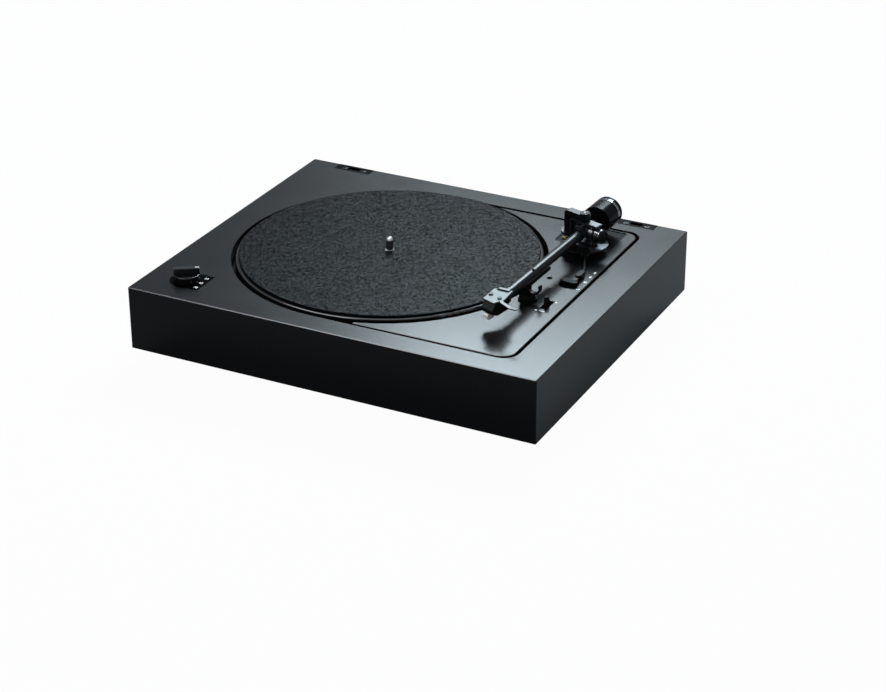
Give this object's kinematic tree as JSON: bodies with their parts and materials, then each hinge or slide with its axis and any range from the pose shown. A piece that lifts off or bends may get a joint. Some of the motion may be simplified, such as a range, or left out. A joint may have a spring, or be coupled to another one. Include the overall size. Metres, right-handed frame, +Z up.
{
  "type": "turntable record player",
  "caption": "Belt-drive turntable on a black plinth with a floating deck, felt-topped platter, gimballed tonearm with counterweight, arm rest, cue lever and rotary and sliding controls.",
  "frame": {"origin": "on the floor under the centre of the plinth's footprint", "axes": "+X to the right along the front, +Y to the back, +Z up"},
  "size_m": [0.43, 0.36, 0.119],
  "materials": {
    "plinth_lacquer": "satin black lacquer",
    "cover_board": "raw dark hardboard",
    "chassis_paint": "satin black",
    "platter_alloy": "black painted, satin",
    "mat_felt": "matt flocked",
    "bright_steel": "polished",
    "zinc_screw": "satin",
    "black_screw": "blackened",
    "arm_black": "satin black anodised",
    "gimbal_grey": "satin",
    "shell_silver": "fine brushed",
    "black_abs": "fine satin",
    "white_abs": "satin",
    "dark_rubber": "matt",
    "bronze": "sintered",
    "brass_gold": "bright",
    "nylon_gear": "natural",
    "board_green": "satin",
    "motor_steel": "satin",
    "weight_steel": "satin black",
    "lever_steel": "dark satin"
  },
  "bodies": {
    "plinth": {"plinth": "plinth_lacquer", "bottom_cover": "cover_board", "cover_screws": "zinc_screw", "feet": "black_abs", "foot_pads": "dark_rubber", "hinge_socket_left": "black_abs", "hinge_socket_right": "black_abs", "hinge_screws": "black_screw", "connector_panel": "black_abs", "panel_screws": "zinc_screw", "phono_sockets": "brass_gold", "ground_terminal": "bright_steel", "dc_inlet": "black_abs", "connection_board": "board_green", "speed_plate": "black_abs", "speed_switch": "black_abs", "chassis_isolators": "dark_rubber"},
    "speed_knob": {"speed_knob": "black_abs"},
    "chassis": {"chassis_plate": "chassis_paint", "bearing_housing": "gimbal_grey", "thrust_plate": "nylon_gear", "bearing_bush": "bronze", "motor_body": "motor_steel", "motor_mounts": "dark_rubber", "drive_belt": "dark_rubber", "cam_stud": "bright_steel", "slider_guide": "black_abs", "selector_dish": "black_abs", "arm_base": "black_abs", "pivot_bracket": "arm_black", "pivot_screw": "bright_steel", "pivot_nut": "arm_black", "arm_rest": "black_abs"},
    "platter": {"spindle": "bright_steel", "hub_gear": "nylon_gear", "platter": "platter_alloy", "platter_mat": "mat_felt"},
    "pulley": {"motor_shaft": "bright_steel", "motor_pulley": "brass_gold"},
    "cam": {"cam_gear": "nylon_gear"},
    "starter": {"start_slider": "black_abs", "start_link": "motor_steel"},
    "size_selector": {"size_selector": "black_abs"},
    "antiskate_dial": {"antiskate_dial": "gimbal_grey"},
    "lift": {"lift_platform": "black_abs"},
    "cue_lever": {"cue_lever": "lever_steel"},
    "rest_clip": {"rest_clip": "black_abs"},
    "arm_swing": {"gimbal_ring": "gimbal_grey", "spring_barrel": "gimbal_grey"},
    "force_dial": {"force_dial": "gimbal_grey"},
    "arm": {"pivot_block": "arm_black", "arm_tube": "arm_black", "stub_shaft": "bright_steel", "headshell": "shell_silver", "finger_lift": "shell_silver", "cartridge": "black_abs", "headshell_screws": "black_screw", "stylus": "white_abs"},
    "weight_carrier": {"weight_bush": "arm_black"},
    "counterweight": {"counterweight": "weight_steel"}
  },
  "joints": [
    {"name": "chassis_float", "type": "slide", "parent": "plinth", "child": "chassis", "axis": [0, 0, 1], "range_m": [-0.0015, 0.0015], "stiffness_N_per_m": 30000, "springref_m": 0.00112, "deforming": ["chassis_isolators"]},
    {"name": "platter_spin", "type": "hinge", "parent": "chassis", "child": "platter", "pos_m": [-0.0275, 0.0007, 0.07], "axis": [0, 0, 1], "continuous": true},
    {"name": "pulley_spin", "type": "hinge", "parent": "chassis", "child": "pulley", "pos_m": [-0.1131, 0.0863, 0.07], "axis": [0, 0, 1], "continuous": true},
    {"name": "speed_turn", "type": "hinge", "parent": "plinth", "child": "speed_knob", "pos_m": [-0.173, -0.1405, 0.078], "axis": [0, 0, 1], "range_deg": [-67, 0]},
    {"name": "start_slide", "type": "slide", "parent": "chassis", "child": "starter", "axis": [0, 1, 0], "range_m": [-0.005, 0.005], "stiffness_N_per_m": 300},
    {"name": "cam_nudge", "type": "hinge", "parent": "chassis", "child": "cam", "pos_m": [0.02248, 0.0281, 0.065], "axis": [0, 0, 1], "range_deg": [-8, 8]},
    {"name": "size_turn", "type": "hinge", "parent": "chassis", "child": "size_selector", "pos_m": [0.1592, 0.0141, 0.078], "axis": [0, 0, 1], "range_deg": [-30, 30]},
    {"name": "antiskate_turn", "type": "hinge", "parent": "chassis", "child": "antiskate_dial", "pos_m": [0.1403, 0.0927, 0.078], "axis": [0, 0, 1], "range_deg": [-20, 20]},
    {"name": "cue_turn", "type": "hinge", "parent": "chassis", "child": "cue_lever", "pos_m": [0.1505, 0.0715, 0.0825], "axis": [-0.9295, -0.3688, 0], "range_deg": [0, 25]},
    {"name": "lift_rise", "type": "slide", "parent": "chassis", "child": "lift", "axis": [0, 0, 1], "range_m": [0, 0.0026]},
    {"name": "clip_turn", "type": "hinge", "parent": "chassis", "child": "rest_clip", "pos_m": [0.13605, -0.0355, 0.0884], "axis": [-0.0332, -0.9995, 0], "range_deg": [0, 60]},
    {"name": "arm_swing", "type": "hinge", "parent": "chassis", "child": "arm_swing", "pos_m": [0.1403, 0.0927, 0.078], "axis": [0, 0, -1], "range_deg": [0, 43]},
    {"name": "arm_tilt", "type": "hinge", "parent": "arm_swing", "child": "arm", "pos_m": [0.1403, 0.0927, 0.099], "axis": [-0.9563, 0.2924, 0], "range_deg": [-0.5, 5]},
    {"name": "force_turn", "type": "hinge", "parent": "arm_swing", "child": "force_dial", "pos_m": [0.1403, 0.0927, 0.099], "axis": [0.9563, -0.2924, 0], "range_deg": [-150, 150]},
    {"name": "weight_slide", "type": "slide", "parent": "arm", "child": "weight_carrier", "axis": [-0.0332, -0.9995, 0], "range_m": [-0.004, 0]},
    {"name": "weight_turn", "type": "hinge", "parent": "weight_carrier", "child": "counterweight", "pos_m": [0.1403, 0.0927, 0.099], "axis": [-0.0332, -0.9995, 0], "range_deg": [-961, 0]}
  ],
  "couplings": [
    {"joint": "pulley_spin", "follows": "platter_spin", "ratio": 8.8075},
    {"joint": "cam_nudge", "follows": "start_slide", "rad_per_m": 27.835},
    {"joint": "lift_rise", "follows": "cue_turn", "m_per_rad": 0.005958},
    {"joint": "weight_turn", "follows": "weight_slide", "rad_per_m": 4188.8}
  ]
}
